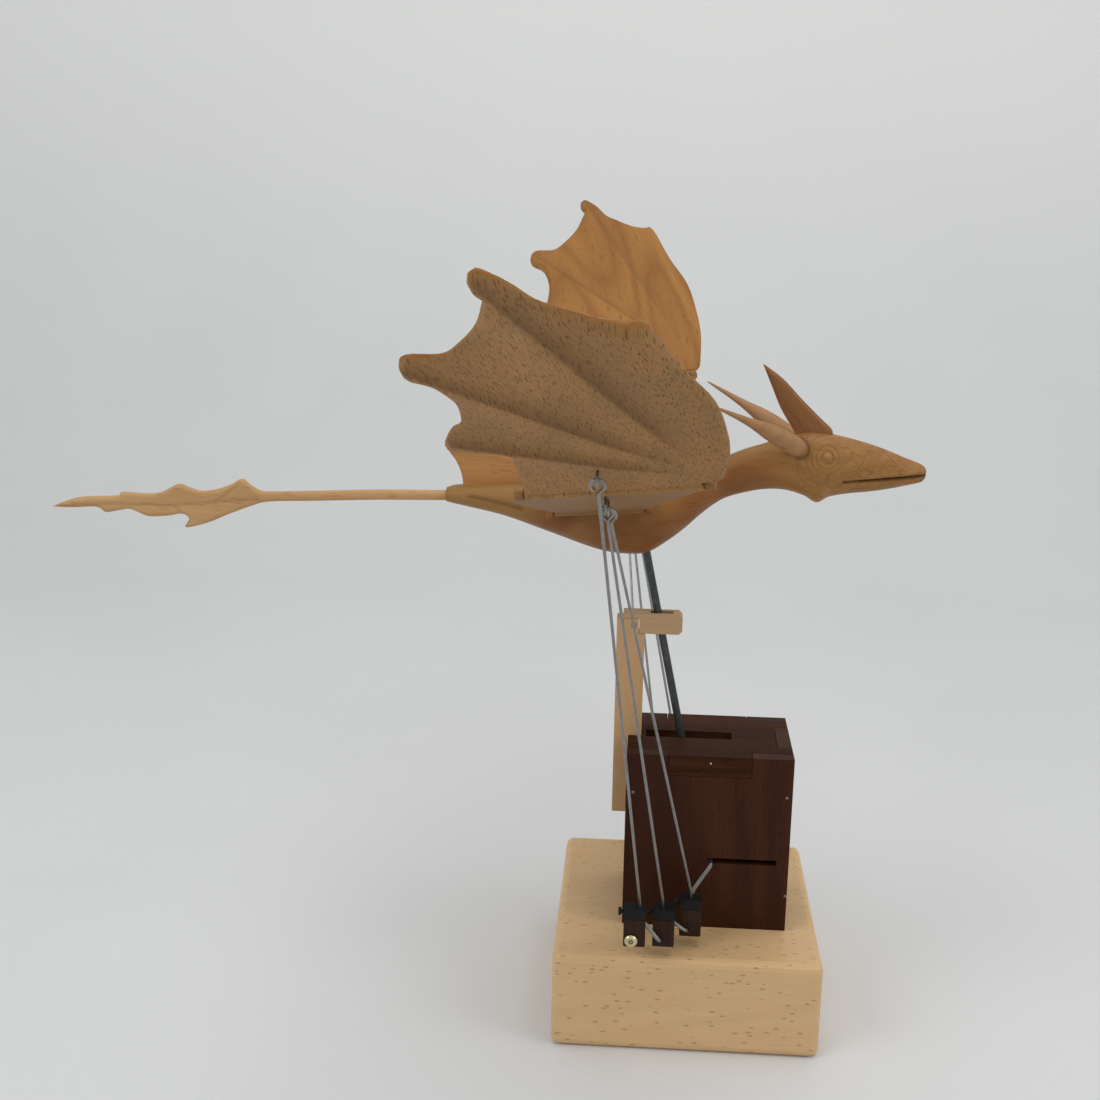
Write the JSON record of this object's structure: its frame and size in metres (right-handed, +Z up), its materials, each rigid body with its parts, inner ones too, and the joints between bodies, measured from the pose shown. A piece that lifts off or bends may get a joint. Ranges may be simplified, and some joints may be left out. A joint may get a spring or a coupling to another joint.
{
  "type": "wooden mechanical dragon",
  "caption": "Carved wooden flying dragon that rises on a steel post and beats jointed wings by wire push rods as a crank in a walnut box turns.",
  "frame": {"origin": "middle of the beech block's underside", "axes": "+X the way the dragon flies, +Y away from the viewer towards the crank handle, +Z up"},
  "size_m": [0.5583, 0.8228, 0.515],
  "materials": {
    "beech": "planed beech, pale with fine flecks, clear satin",
    "black_steel": "black painted steel",
    "brass": "brushed brass",
    "crest_wood": "reddish oiled wood",
    "oiled_wood": "golden brown oiled wood, carved",
    "pale_beech": "planed beech, pale, satin",
    "post_steel": "dark blued steel",
    "rod_steel": "drawn steel rod",
    "tail_wood": "sawn and oiled wood",
    "walnut": "dark oiled walnut, satin",
    "wing_beech": "carved beech with dark ray flecks, oiled on its upper face"
  },
  "bodies": {
    "stand": {"base_block": "beech", "near_wall": "walnut", "far_wall": "walnut", "rear_wall": "walnut", "front_wall": "walnut", "box_top": "walnut", "upright": "pale_beech", "guide_arm": "pale_beech", "near_arm_wire": "rod_steel", "far_arm_wire": "rod_steel", "near_wire_cap": "brass", "far_wire_cap": "brass", "far_bush": "brass"},
    "crank": {"crankshaft": "rod_steel", "crank_disc": "brass", "crank_pin": "rod_steel", "handle_arm": "walnut", "knob_pin": "rod_steel"},
    "knob": {"knob": "walnut"},
    "dragon": {"post": "post_steel", "yoke": "post_steel", "dragon_body": "oiled_wood", "back_fin": "oiled_wood", "tail": "tail_wood", "crest": "crest_wood", "near_horn": "oiled_wood", "far_horn": "oiled_wood", "near_root_pin": "rod_steel", "far_root_pin": "rod_steel"},
    "near_inner": {"near_inner_wing": "wing_beech", "near_eye_2": "rod_steel", "near_eye_3": "rod_steel", "near_hinge_pin": "rod_steel"},
    "near_outer": {"near_outer_wing": "wing_beech", "near_eye_1": "rod_steel"},
    "near_rod_1_body": {"near_block_1": "walnut", "near_clamp_1": "black_steel", "near_rod_1": "rod_steel"},
    "near_rod_2_body": {"near_block_2": "walnut", "near_clamp_2": "black_steel", "near_rod_2": "rod_steel"},
    "near_rod_3_body": {"near_block_3": "walnut", "near_clamp_3": "black_steel", "near_rod_3": "rod_steel"},
    "far_inner": {"far_inner_wing": "wing_beech", "far_eye_2": "rod_steel", "far_eye_3": "rod_steel", "far_hinge_pin": "rod_steel"},
    "far_outer": {"far_outer_wing": "wing_beech", "far_eye_1": "rod_steel"},
    "far_rod_1_body": {"far_block_1": "walnut", "far_clamp_1": "black_steel", "far_rod_1": "rod_steel"},
    "far_rod_2_body": {"far_block_2": "walnut", "far_clamp_2": "black_steel", "far_rod_2": "rod_steel"},
    "far_rod_3_body": {"far_block_3": "walnut", "far_clamp_3": "black_steel", "far_rod_3": "rod_steel"}
  },
  "joints": [
    {"name": "crank_spin", "type": "hinge", "parent": "stand", "child": "crank", "pos_m": [0.03781, -0.005, 0.0847], "axis": [0, 1, 0], "continuous": true},
    {"name": "knob_spin", "type": "hinge", "parent": "crank", "child": "knob", "pos_m": [0.00381, -0.005, 0.0847], "axis": [0, 1, 0], "continuous": true},
    {"name": "body_bob", "type": "slide", "parent": "stand", "child": "dragon", "axis": [-0.2096, 0, 0.9778], "range_m": [-0.009, 0.009]},
    {"name": "near_inner_flap", "type": "hinge", "parent": "dragon", "child": "near_inner", "pos_m": [-0.04092, -0.029, 0.3415], "axis": [0.9939, -0.0696, 0.0855], "range_deg": [-4.6, 4.6]},
    {"name": "near_outer_flap", "type": "hinge", "parent": "near_inner", "child": "near_outer", "pos_m": [-0.04092, -0.18738, 0.38901], "axis": [0.957, -0.2549, 0.1387], "range_deg": [-7.5, 7.5]},
    {"name": "near_rod_1_swing", "type": "hinge", "parent": "stand", "child": "near_rod_1_body", "pos_m": [-0.0357, -0.094, 0.085], "axis": [0.9344, -0.3481, -0.0761], "range_deg": [-0.62, 0.62]},
    {"name": "near_rod_2_swing", "type": "hinge", "parent": "stand", "child": "near_rod_2_body", "pos_m": [-0.0175, -0.079, 0.0775], "axis": [0.9092, -0.4163, -0.001], "range_deg": [-0.63, 0.63]},
    {"name": "near_rod_3_swing", "type": "hinge", "parent": "stand", "child": "near_rod_3_body", "pos_m": [-0.0004, -0.064, 0.0773], "axis": [0.8502, -0.5262, 0.0172], "range_deg": [-0.48, 0.48]},
    {"name": "far_inner_flap", "type": "hinge", "parent": "dragon", "child": "far_inner", "pos_m": [-0.04092, 0.019, 0.3415], "axis": [0.9939, 0.0696, 0.0855], "range_deg": [-4.6, 4.6]},
    {"name": "far_outer_flap", "type": "hinge", "parent": "far_inner", "child": "far_outer", "pos_m": [-0.04092, 0.17738, 0.38901], "axis": [0.957, 0.2549, 0.1387], "range_deg": [-7.5, 7.5]},
    {"name": "far_rod_1_swing", "type": "hinge", "parent": "stand", "child": "far_rod_1_body", "pos_m": [-0.0357, 0.084, 0.085], "axis": [-0.9344, -0.3481, 0.0761], "range_deg": [-0.62, 0.62]},
    {"name": "far_rod_2_swing", "type": "hinge", "parent": "stand", "child": "far_rod_2_body", "pos_m": [-0.0175, 0.069, 0.0775], "axis": [-0.9092, -0.4163, 0.001], "range_deg": [-0.63, 0.63]},
    {"name": "far_rod_3_swing", "type": "hinge", "parent": "stand", "child": "far_rod_3_body", "pos_m": [-0.0004, 0.054, 0.0773], "axis": [-0.8502, -0.5262, -0.0172], "range_deg": [-0.48, 0.48]}
  ],
  "couplings": [
    {"joint": "near_inner_flap", "follows": "body_bob", "rad_per_m": 8.6},
    {"joint": "near_outer_flap", "follows": "body_bob", "rad_per_m": -14},
    {"joint": "near_rod_1_swing", "follows": "body_bob", "rad_per_m": 1.0974},
    {"joint": "near_rod_2_swing", "follows": "body_bob", "rad_per_m": 1.1339},
    {"joint": "near_rod_3_swing", "follows": "body_bob", "rad_per_m": 0.8392},
    {"joint": "far_inner_flap", "follows": "body_bob", "rad_per_m": -8.6},
    {"joint": "far_outer_flap", "follows": "body_bob", "rad_per_m": 14},
    {"joint": "far_rod_1_swing", "follows": "body_bob", "rad_per_m": 1.0974},
    {"joint": "far_rod_2_swing", "follows": "body_bob", "rad_per_m": 1.1339},
    {"joint": "far_rod_3_swing", "follows": "body_bob", "rad_per_m": 0.8392}
  ]
}
